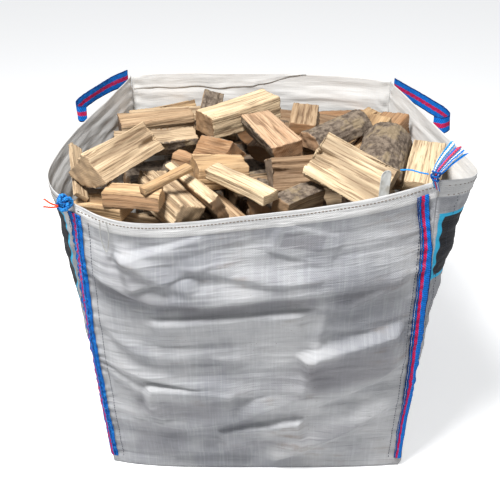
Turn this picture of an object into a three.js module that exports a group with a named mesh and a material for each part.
// A builder's bulk bag of woven polypropylene, filled with split hardwood firewood.
// Millimetres, +Z up. The origin is on the ground under the middle of the bag, and the front panel faces -Y.
import * as THREE from "three";

// ---------------------------------------------------------------- driving dimensions
const GAP = 0.5; // clearance between pieces that touch
const FABRIC = 4; // coated cloth with its folded hem allowance
const WEBBING = { width: 50, thick: 3, clear: 1.2 }; // clear of the cloth under it
const WALL_CLEARANCE = 9; // from the middle of the cloth to the nearest log
const BASE_TOP = FABRIC + GAP; // the side panels stand on the base panel
const SHAKE = { rounds: 3000, drift: 120, still: 0.01, longestFall: 25 }; // how the logs are settled

// The four corner seams, from the foot on the ground to the rim.
const SEAMS = {
  frontLeft: { foot: [-408, -402], rim: [-440, -445, 835] },
  frontRight: { foot: [408, -402], rim: [430, -440, 900] },
  rearRight: { foot: [405, 402], rim: [425, 440, 880] },
  rearLeft: { foot: [-405, 402], rim: [-425, 440, 895] },
};

// Each panel runs between two seams, anticlockwise seen from above. bulge is how far its middle stands out
// at the foot, half way up and at the rim; lean moves the bulge and the sag of the rim towards one seam, and
// a higher square keeps the bulge nearly full up to the corners.
const PANELS = {
  front: { from: "frontLeft", to: "frontRight", bulge: [20, 50, 44], lean: -0.4, square: 4, sag: 42 },
  right: { from: "frontRight", to: "rearRight", bulge: [14, 30, 76], lean: -0.95, square: 8, sag: 10 },
  rear: { from: "rearRight", to: "rearLeft", bulge: [20, 46, 36], lean: 0, square: 4, sag: -8 },
  left: { from: "rearLeft", to: "frontLeft", bulge: [20, 60, 105], lean: 0.75, square: 2.5, sag: 18 },
};
const PANEL_STEPS = { along: 12, up: 10 };

const X = new THREE.Vector3(1, 0, 0);
const Y = new THREE.Vector3(0, 1, 0);
const Z = new THREE.Vector3(0, 0, 1);
const { degToRad, lerp } = THREE.MathUtils;

// ---------------------------------------------------------------- materials
const finish = (color, roughness) => new THREE.MeshStandardMaterial({ color, roughness, metalness: 0 });
const cloth = finish(0xc9cacc, 0.7);
const blueWebbing = finish(0x1c62c4, 0.75);
const blueTwine = finish(0x2b7fd0, 0.6);
const orangeTwine = finish(0xe2541a, 0.6);
const whiteTape = finish(0xdedede, 0.7);
const splitWood = finish(0xc39a66, 0.8);
const hiddenWood = finish(0x8a6a44, 0.9);

const bag = new THREE.Group();

function add(name, geometry, material) {
  const mesh = new THREE.Mesh(geometry, material.clone());
  mesh.name = name;
  bag.add(mesh);
  return mesh;
}

// ---------------------------------------------------------------- the bag's shape
// A point on a corner seam, with v from 0 at its foot to 1 at the rim.
function seamPoint(name, v) {
  const { foot, rim } = SEAMS[name];
  const spread = Math.sin((v * Math.PI) / 2);
  const height = lerp(BASE_TOP, rim[2], v);
  return new THREE.Vector3(lerp(foot[0], rim[0], spread), lerp(foot[1], rim[1], spread), height);
}

// The level direction straight out of a panel, square to the line between its seams.
function outwardOf(panel, v) {
  const chord = seamPoint(panel.to, v).sub(seamPoint(panel.from, v));
  return new THREE.Vector3(chord.y, -chord.x, 0).normalize();
}

// The hump of a full panel along its length: u runs from -1 at one seam to 1 at the other.
function hump(panel, u) {
  return (1 - Math.abs(u) ** panel.square) * (1 + panel.lean * u);
}

// How far the panel stands out of the straight line between its seams.
function standOut(panel, u, v) {
  const [foot, middle, rim] = panel.bulge;
  const swell = foot * (1 - v) * (1 - 2 * v) + middle * 4 * v * (1 - v) + rim * v * (2 * v - 1);
  return swell * hump(panel, u);
}

// A point of a panel, moved outward from the middle of its cloth.
function panelPoint(panel, u, v, outward = 0) {
  const point = seamPoint(panel.from, v).lerp(seamPoint(panel.to, v), (u + 1) / 2);
  point.addScaledVector(outwardOf(panel, v), standOut(panel, u, v) + outward);
  point.z -= panel.sag * hump(panel, u) * v * v;
  return point;
}

// A corner's outside edge, the same distance clear of both of its panels.
function cornerPoint(before, after, v, outward) {
  const a = outwardOf(before, v);
  const b = outwardOf(after, v);
  const point = seamPoint(after.from, v);
  return point.addScaledVector(a.clone().add(b), outward / (1 + a.dot(b)));
}

function panelLength(panel) {
  return seamPoint(panel.from, 1).distanceTo(seamPoint(panel.to, 1));
}

// Moves every corner of a segmented box to where place(x, y, z) says, which keeps it one closed solid.
// x, y and z each run from -1 to 1.
function bentBox(segments, place) {
  const box = new THREE.BoxGeometry(2, 2, 2, ...segments);
  const position = box.getAttribute("position");
  for (let i = 0; i < position.count; i++) {
    const p = place(position.getX(i), position.getY(i), position.getZ(i));
    position.setXYZ(i, p.x, p.y, p.z);
  }
  box.computeVertexNormals();
  return box;
}

// A ribbon along a curve. across(t) gives its width direction, and width(t) and thick(t) its size there.
function ribbon(curve, steps, across, width, thick) {
  return bentBox([steps, 1, 1], (x, y, z) => {
    const t = (x + 1) / 2;
    const wide = across(t).clone().normalize();
    const facing = curve.getTangentAt(t).cross(wide).normalize();
    const point = curve.getPointAt(t).addScaledVector(wide, (y * width(t)) / 2);
    return point.addScaledVector(facing, (z * thick(t)) / 2);
  });
}

const route = (points) => new THREE.CatmullRomCurve3(points.map((p) => new THREE.Vector3(...p)));
const constant = (value) => () => value;

// ---------------------------------------------------------------- cloth panels
// The front and rear panels run through to the seams, and the other two stop inside them.
function sidePanel(panel, endInset) {
  const reach = 1 - (2 * endInset) / panelLength(panel);
  const segments = [PANEL_STEPS.along, PANEL_STEPS.up, 1];
  return bentBox(segments, (x, y, z) => panelPoint(panel, x * reach, (y + 1) / 2, (z * FABRIC) / 2));
}

// The base panel fills the outline of the four feet.
function basePanel() {
  const outline = [];
  for (const panel of Object.values(PANELS))
    for (let i = 0; i < PANEL_STEPS.along; i++) {
      const p = panelPoint(panel, (2 * i) / PANEL_STEPS.along - 1, 0);
      outline.push(new THREE.Vector2(p.x, p.y));
    }
  return new THREE.ExtrudeGeometry(new THREE.Shape(outline), { depth: FABRIC, bevelEnabled: false });
}

add("base_panel", basePanel(), cloth);
add("front_panel", sidePanel(PANELS.front, 0), cloth);
add("rear_panel", sidePanel(PANELS.rear, 0), cloth);
add("right_panel", sidePanel(PANELS.right, FABRIC), cloth);
add("left_panel", sidePanel(PANELS.left, FABRIC), cloth);

// ---------------------------------------------------------------- corner webbing
// Each corner seam is bound by a webbing folded round it, half on each panel, from just above the foot
// to the rim, or to the lifting loop that starts there.
const CORNER_WEBBING = { from: 0.03, steps: 10 };

function cornerWebbing(before, after, top) {
  const inner = FABRIC / 2 + WEBBING.clear;
  return bentBox([2, CORNER_WEBBING.steps, 1], (x, y, z) => {
    const v = lerp(CORNER_WEBBING.from, top, (y + 1) / 2);
    const outward = inner + ((z + 1) / 2) * WEBBING.thick;
    if (x === 0) return cornerPoint(before, after, v, outward);
    if (x < 0) return panelPoint(before, 1 - WEBBING.width / panelLength(before), v, outward);
    return panelPoint(after, WEBBING.width / panelLength(after) - 1, v, outward);
  });
}

add("front_left_webbing", cornerWebbing(PANELS.left, PANELS.front, 0.97), blueWebbing);
add("front_right_webbing", cornerWebbing(PANELS.front, PANELS.right, 0.97), blueWebbing);
add("rear_right_webbing", cornerWebbing(PANELS.right, PANELS.rear, 0.93), blueWebbing);
add("rear_left_webbing", cornerWebbing(PANELS.rear, PANELS.left, 0.93), blueWebbing);

// ---------------------------------------------------------------- lifting loops
// Each rear loop leaves its corner above the webbing, stands out from the side panel and comes back to it.
function liftingLoop(points) {
  const loop = route(points);
  return ribbon(loop, 28, constant(Z), constant(WEBBING.width), constant(WEBBING.thick));
}

const RIGHT_LOOP = [
  [436, 434, 868], [474, 345, 868], [522, 240, 862], [556, 165, 856],
  [560, 118, 852], [535, 92, 850], [510, 104, 850],
];
const LEFT_LOOP = [
  [-436, 434, 890], [-476, 345, 892], [-512, 255, 888], [-538, 195, 880],
  [-548, 155, 872], [-536, 126, 866], [-516, 136, 866],
];
add("rear_right_loop", liftingLoop(RIGHT_LOOP), blueWebbing);
add("rear_left_loop", liftingLoop(LEFT_LOOP), blueWebbing);

// ---------------------------------------------------------------- knots, twine and tape at the front
// A round cord or twine along a curve.
function roundCord(curve, steps, diameter) {
  const ring = new THREE.Shape().absarc(0, 0, diameter / 2, 0, 2 * Math.PI);
  const sweep = { steps, extrudePath: curve, curveSegments: 4, bevelEnabled: false };
  return new THREE.ExtrudeGeometry(ring, sweep);
}

// The front right loop is gathered by a cord into a fan of webbing, which stands up from its corner.
const FAN = route([[424, -453, 882], [416, -457, 915], [436, -452, 950], [470, -446, 988]]);
const FAN_ACROSS = new THREE.Vector3(-0.79, 0.1, 0.61);
const FAN_KNOT = { radius: 15, cord: 3.2, along: 0.3 };
const CORD_DIAMETER = 4;
const CORD_TAIL = [[399, -461.4, 923.6], [378, -465, 929], [356, -462, 934], [334, -458, 932]];

function frontRightKnot() {
  const ring = new THREE.TorusGeometry(FAN_KNOT.radius, FAN_KNOT.cord, 8, 16);
  const mesh = add("front_right_knot", ring, blueTwine);
  mesh.position.copy(FAN.getPointAt(FAN_KNOT.along));
  mesh.quaternion.setFromUnitVectors(Z, FAN.getTangentAt(FAN_KNOT.along));
}

const fanWidth = (t) => lerp(14, 54, t ** 1.5);
const fanThickness = (t) => lerp(9, 3, t);
add("front_right_fan", ribbon(FAN, 8, constant(FAN_ACROSS), fanWidth, fanThickness), blueWebbing);
frontRightKnot();
add("front_right_cord", roundCord(route(CORD_TAIL), 8, CORD_DIAMETER), blueTwine);

// The front left loop is tied off in a lump of its own webbing, with the ends of a baling twine under it.
const LUMP = { at: [-459, -461, 842], radius: 12, strand: 4.2 };
const TWINE_DIAMETER = 3;
const TWINE_ENDS = [
  [-506, -462, 852], [-488, -474, 846], [-470, -479, 842], [-488, -475, 836], [-508, -466, 834],
];

function frontLeftKnot() {
  const knot = new THREE.TorusKnotGeometry(LUMP.radius, LUMP.strand, 40, 6, 2, 3);
  const mesh = add("front_left_knot", knot, blueWebbing);
  mesh.position.set(...LUMP.at);
  mesh.rotation.set(1.2, 0.5, 0);
}
frontLeftKnot();
add("front_left_twine", roundCord(route(TWINE_ENDS), 12, TWINE_DIAMETER), orangeTwine);

// Tapes sewn under the hem: one stands up inside the front panel, and one hangs outside it as a hairpin.
const STANDING_TAPE = { u: 0.7, width: 25, thick: 2, below: 20, above: 60 };
const HANGING_TAPE = { u: -0.82, width: 5, thick: 2, spread: 11, drop: 85 };

function standingTape() {
  const { u, width, thick, below, above } = STANDING_TAPE;
  const inside = -FABRIC - thick;
  const foot = panelPoint(PANELS.front, u, 1 - below / seamPoint("frontRight", 1).z, inside);
  const rim = panelPoint(PANELS.front, u, 1, inside);
  const tip = rim.clone().add(new THREE.Vector3(4, 6, above));
  const along = panelPoint(PANELS.front, u + 0.02, 1).sub(panelPoint(PANELS.front, u - 0.02, 1));
  const spine = route([foot, rim, tip].map((p) => p.toArray()));
  return ribbon(spine, 6, constant(along), constant(width), constant(thick));
}

function hangingTape() {
  const { u, width, thick, spread, drop } = HANGING_TAPE;
  const top = panelPoint(PANELS.front, u, 1, FABRIC / 2 + 5);
  const at = (x, z) => [top.x + x, top.y - 4, top.z + z];
  const down = [at(-spread, -4), at(-spread, -drop * 0.6), at(0, -drop)];
  const backUp = [at(spread * 0.7, -drop * 0.55), at(spread * 0.4, -4)];
  return ribbon(route([...down, ...backUp]), 16, constant(Y), constant(width), constant(thick));
}
add("front_standing_tape", standingTape(), whiteTape);
add("front_hanging_tape", hangingTape(), whiteTape);

// ---------------------------------------------------------------- the buried logs
// The logs that can't be seen fill the bag to a low crown, and are one solid here.
const CROWN = { top: 738, fall: 45, middle: [0, -20], reach: 430 };

function crownHeight(x, y) {
  const dx = (x - CROWN.middle[0]) / CROWN.reach;
  const dy = (y - CROWN.middle[1]) / CROWN.reach;
  return CROWN.top - CROWN.fall * (dx * dx + dy * dy);
}

// A level place inside the four panels: a and b run from -1 to 1 across the bag and from front to rear.
function insideBag(a, b, v) {
  const { front, right, rear, left } = PANELS;
  const acrossFronts = panelPoint(front, a, v).lerp(panelPoint(rear, -a, v), (b + 1) / 2);
  const acrossSides = panelPoint(left, -b, v).lerp(panelPoint(right, b, v), (a + 1) / 2);
  const frontChord = seamPoint("frontLeft", v).lerp(seamPoint("frontRight", v), (a + 1) / 2);
  const rearChord = seamPoint("rearLeft", v).lerp(seamPoint("rearRight", v), (a + 1) / 2);
  return acrossFronts.add(acrossSides).sub(frontChord.lerp(rearChord, (b + 1) / 2));
}

function buriedLogs() {
  const reach = 1 - (2 * WALL_CLEARANCE) / panelLength(PANELS.front);
  return bentBox([8, 8, 6], (x, y, z) => {
    const share = (z + 1) / 2;
    const rim = insideBag(x * reach, y * reach, 1).z;
    const guess = insideBag(x * reach, y * reach, (share * CROWN.top) / rim);
    const height = lerp(BASE_TOP + GAP, crownHeight(guess.x, guess.y), share);
    const place = insideBag(x * reach, y * reach, height / rim);
    place.z = height;
    return place;
  });
}

// ---------------------------------------------------------------- split logs
// Sections across the grain, [level, up], lying as a log does with its bark down.
function wedge(radius, angle) {
  const steps = Math.max(2, Math.round(angle / 30));
  const bark = [];
  for (let i = 0; i <= steps; i++) {
    const turn = degToRad(angle * (i / steps - 0.5));
    bark.push([radius * Math.sin(turn), -radius * Math.cos(turn)]);
  }
  return angle < 180 ? [[0, 0], ...bark] : bark;
}
const quarter = (radius) => wedge(radius, 90);
const half = (radius) => wedge(radius, 180);
const slab = (w, h) => [[-w / 2, -h / 2], [w / 2, -h * 0.42], [w * 0.46, h / 2], [-w * 0.47, h * 0.44]];
const heart = (w, h) => [[-w / 2, -h * 0.46], [w / 2, -h / 2], [w * 0.36, h / 2], [-w * 0.28, h * 0.4]];

function centred(section) {
  const points = section.map(([a, b]) => new THREE.Vector2(a, b));
  const area = THREE.ShapeUtils.area(points);
  const middle = new THREE.Vector2();
  points.forEach((p, i) => {
    const q = points[(i + 1) % points.length];
    middle.addScaledVector(p.clone().add(q), p.cross(q) / (6 * area));
  });
  return points.map((p) => p.sub(middle));
}

// A log along X, with its section's first direction along Y and its second along Z.
function logGeometry(section, length) {
  const outline = new THREE.Shape(centred(section));
  const geometry = new THREE.ExtrudeGeometry(outline, { depth: length, bevelEnabled: false });
  geometry.translate(0, 0, -length / 2);
  return geometry.applyMatrix4(new THREE.Matrix4().makeBasis(Y, Z, X));
}

// ---------------------------------------------------------------- settling the logs
// A convex solid turned as it will lie: its corners from its own middle, and its face and edge directions.
function turnedSolid(geometry, rotation) {
  const position = geometry.getAttribute("position");
  const corners = [];
  const faces = [];
  const edges = [];
  const keep = (list, direction) => {
    if (direction.lengthSq() < 1e-9) return;
    direction.normalize();
    if (!list.some((other) => Math.abs(other.dot(direction)) > 0.9999)) list.push(direction);
  };
  for (let i = 0; i < position.count; i += 3) {
    const points = [0, 1, 2].map((k) => new THREE.Vector3().fromBufferAttribute(position, i + k));
    const [p, q, r] = points.map((point) => point.applyQuaternion(rotation));
    keep(faces, q.clone().sub(p).cross(r.clone().sub(p)));
    keep(edges, q.clone().sub(p));
    keep(edges, r.clone().sub(q));
    keep(edges, p.clone().sub(r));
    for (const point of [p, q, r])
      if (!corners.some((other) => other.distanceToSquared(point) < 1e-6)) corners.push(point);
  }
  return { corners, faces, edges, reach: Math.max(...corners.map((c) => c.length())) };
}

// Each direction in which two turned solids could be parted, with how far apart their middles must be there:
// at least `above` for the second to lie beyond the first, or at most `below` for it to lie before it.
function partingDirections(first, second) {
  const directions = [...first.solid.faces, ...second.solid.faces];
  for (const a of first.solid.edges)
    for (const b of second.solid.edges) directions.push(a.clone().cross(b));
  return directions.filter((axis) => axis.lengthSq() > 1e-4).map((direction) => {
    const axis = direction.clone().normalize();
    if (axis.z < 0) axis.negate();
    const a = first.solid.corners.map((c) => c.dot(axis));
    const b = second.solid.corners.map((c) => c.dot(axis));
    const above = Math.max(...a) - Math.min(...b) + GAP;
    const below = Math.min(...a) - Math.max(...b) - GAP;
    return { axis, above, below };
  });
}

// The shortest move of the second log that parts it from the first, or null when they are clear.
function shortestParting(pair) {
  const between = pair.second.position.clone().sub(pair.first.position);
  let best = null;
  for (const { axis, above, below } of pair.directions) {
    const apart = between.dot(axis);
    if (apart >= above || apart <= below) return null;
    const move = above - apart < apart - below ? above - apart : below - apart;
    if (!best || Math.abs(move) < Math.abs(best.move)) best = { axis, move };
  }
  return best.axis.clone().multiplyScalar(best.move);
}

// How far up a log would have to move to lie on the other log of a pair: below zero, it can fall that far.
function liftOntoOther(log, pair) {
  const between = pair.second.position.clone().sub(pair.first.position);
  let low = -Infinity;
  let high = Infinity;
  for (const { axis, above, below } of pair.directions) {
    const apart = between.dot(axis);
    const isSecond = log === pair.second;
    const enters = isSecond ? below - apart : apart - above;
    const leaves = isSecond ? above - apart : apart - below;
    if (axis.z < 1e-6 && (leaves <= 0 || enters >= 0)) return -Infinity;
    if (axis.z < 1e-6) continue;
    low = Math.max(low, enters / axis.z);
    high = Math.min(high, leaves / axis.z);
  }
  return low < high && high < SHAKE.still ? high : -Infinity;
}

// How far up a log must move to lie clear of the crown, tested at five places along its length.
function liftOverCrown(log) {
  const along = new THREE.Vector3().copy(X).applyQuaternion(log.rotation);
  let lift = -Infinity;
  for (const corner of log.solid.corners)
    for (const share of [0, 0.5, 1, 1.5, 2]) {
      const point = corner.clone().addScaledVector(along, -share * corner.dot(along)).add(log.position);
      lift = Math.max(lift, crownHeight(point.x, point.y) + 2 * GAP - point.z);
    }
  return lift;
}

// How far a log reaches past its clearance inside a panel.
function overreach(log, panel) {
  const rim = SEAMS[panel.from].rim[2];
  let past = -Infinity;
  for (const corner of log.solid.corners) {
    const point = corner.clone().add(log.position);
    const v = THREE.MathUtils.clamp(point.z / rim, 0, 1);
    const start = seamPoint(panel.from, v);
    const chord = seamPoint(panel.to, v).sub(start).setZ(0);
    const offset = point.sub(start);
    const u = THREE.MathUtils.clamp((2 * offset.dot(chord)) / chord.lengthSq() - 1, -1, 1);
    past = Math.max(past, offset.dot(outwardOf(panel, v)) - standOut(panel, u, v) + WALL_CLEARANCE);
  }
  return past;
}

function keepInBag(log) {
  for (const panel of Object.values(PANELS)) {
    const past = overreach(log, panel);
    if (past > 0) log.position.addScaledVector(outwardOf(panel, 1), -past);
  }
  log.position.z += Math.max(0, liftOverCrown(log));
}

// heading turns a log from +X towards +Y, pitch lifts its far end, and roll turns it about its own length.
function aimed(heading, pitch, roll) {
  const turn = (axis, degrees) => new THREE.Quaternion().setFromAxisAngle(axis, degToRad(degrees));
  return turn(Z, heading).multiply(turn(Y, -pitch)).multiply(turn(X, roll));
}

// Logs laid near where they lie in the bag push each other apart until all are clear, like a shaken load.
function shakeApart(logs) {
  const pairs = [];
  logs.forEach((first, i) => {
    for (const second of logs.slice(i + 1))
      if (first.position.distanceTo(second.position) < first.solid.reach + second.solid.reach + SHAKE.drift)
        pairs.push({ first, second, directions: partingDirections(first, second) });
  });
  for (let round = 0; round < SHAKE.rounds; round++) {
    let moved = 0;
    for (const pair of pairs) {
      const parting = shortestParting(pair);
      if (!parting) continue;
      pair.second.position.addScaledVector(parting, 0.5);
      pair.first.position.addScaledVector(parting, -0.5);
      moved = Math.max(moved, parting.length());
    }
    logs.forEach(keepInBag);
    if (moved < SHAKE.still) break;
  }
  return pairs;
}

// Then each log, from the lowest up, falls onto what is under it.
function letFall(logs, pairs) {
  for (const log of [...logs].sort((a, b) => a.position.z - b.position.z)) {
    const under = pairs.filter((pair) => pair.first === log || pair.second === log);
    const lifts = under.map((pair) => liftOntoOther(log, pair));
    const lift = Math.max(liftOverCrown(log), -SHAKE.longestFall, ...lifts);
    log.position.z += Math.min(0, lift);
    if (Object.values(PANELS).some((panel) => overreach(log, panel) > 0)) log.position.z -= Math.min(0, lift);
  }
}

add("buried_logs", buriedLogs(), hiddenWood);

// From the lowest log to the highest: section, length, place, heading, pitch and roll.
const LOGS = [
  // the layer on the crown
  [half(48), 230, [-300, 290, 780], 15, 0, 10], // log 1
  [quarter(86), 235, [-50, 300, 780], 100, 0, 40], // log 2
  [half(52), 240, [120, 300, 770], -20, 0, 0], // log 3
  [quarter(85), 225, [310, 280, 780], 60, 0, -30], // log 4
  [quarter(76), 230, [-215, -95, 785], 92, -4, 180], // log 5, the dark mossy end
  [slab(60, 44), 215, [-345, -355, 800], 26, 4, 0], // log 6
  [half(46), 235, [270, -220, 780], 84, 0, 0], // log 7
  [slab(90, 64), 235, [455, -230, 845], 76, 6, 0], // log 8
  [quarter(84), 230, [415, 80, 825], 60, 8, 40], // log 9
  [quarter(82), 200, [25, -360, 810], 84, -6, 220], // log 10
  [slab(56, 50), 130, [80, -445, 825], 46, 0, 10], // log 11
  [slab(90, 36), 140, [-420, -410, 800], -22, 4, 8], // log 12
  // more of that layer, towards the rear
  [half(50), 235, [55, 150, 780], 70, 0, 0], // log 13
  [quarter(82), 225, [-400, 340, 770], 38, 0, 20], // log 14
  [slab(78, 58), 230, [235, 140, 780], -50, 0, 0], // log 15
  [half(46), 225, [-190, 380, 760], -6, 0, 0], // log 16
  [quarter(78), 225, [225, 385, 760], 8, 0, 45], // log 17
  // the layer that shows most
  [slab(84, 70), 215, [-305, 105, 865], 17, 2, 0], // log 18, grooved, far left
  [half(56), 225, [-280, -48, 868], 12, 0, 0], // log 19, pale and smooth
  [quarter(88), 235, [-345, -305, 850], 60, 3, 0], // log 20, big ridge, left
  [slab(56, 42), 200, [-310, -415, 850], -25, 0, 0], // log 21
  [slab(50, 40), 140, [-275, -462, 830], -10, 0, 8], // log 22
  [quarter(74), 220, [-215, -430, 825], -58, -4, 30], // log 23
  [slab(30, 86), 245, [-155, -375, 835], -58, -2, 22], // log 24, cream edge
  [heart(96, 58), 140, [-100, -275, 850], 24, -8, 10], // log 25, swirly grain
  [slab(52, 46), 215, [-88, -400, 825], -58, -4, 0], // log 26
  [slab(50, 28), 215, [-28, -440, 830], -46, -2, 6], // log 27, bright plank
  [heart(46, 40), 100, [-180, -175, 850], -35, 0, 0], // log 28
  [quarter(66), 130, [-95, -140, 860], -48, 8, 0], // log 29
  [quarter(86), 185, [112, -230, 865], 12, 0, 20], // log 30, dark straight grain
  [quarter(90), 205, [36, -128, 880], -64, -6, -40], // log 31, peach face
  [half(50), 190, [214, -92, 878], 38, 8, 180], // log 32, bark on top
  [slab(66, 52), 220, [300, -60, 858], 66, 14, 0], // log 33, yellow, leaning
  [half(68), 225, [348, -272, 868], 76, 10, 180], // log 34, big weathered bark
  [slab(58, 132), 200, [226, -398, 840], -28, -18, -40], // log 35, big ridged face
  [slab(80, 66), 165, [130, 60, 890], 84, 2, 0], // log 36, block with a knot hole
  [slab(66, 84), 150, [-155, 185, 860], 80, 34, 15], // log 37, upright, behind
  [slab(88, 66), 235, [-60, -10, 915], 38, 4, 0], // log 38, the top log
  [slab(40, 14), 240, [-510, -310, 860], 104, 10, 40], // log 39, slat at the left rim
  [slab(24, 20), 150, [-215, -465, 860], 46, 6, 0], // log 40, stick
];
const logs = LOGS.map(([section, length, place, heading, pitch, roll]) => {
  const geometry = logGeometry(section, length);
  const rotation = aimed(heading, pitch, roll);
  const position = new THREE.Vector3(...place);
  return { geometry, rotation, position, solid: turnedSolid(geometry, rotation) };
});
letFall(logs, shakeApart(logs));
logs.forEach((log, i) => {
  const mesh = add(`log_${i + 1}`, log.geometry, splitWood);
  mesh.position.copy(log.position);
  mesh.quaternion.copy(log.rotation);
});

export default bag;
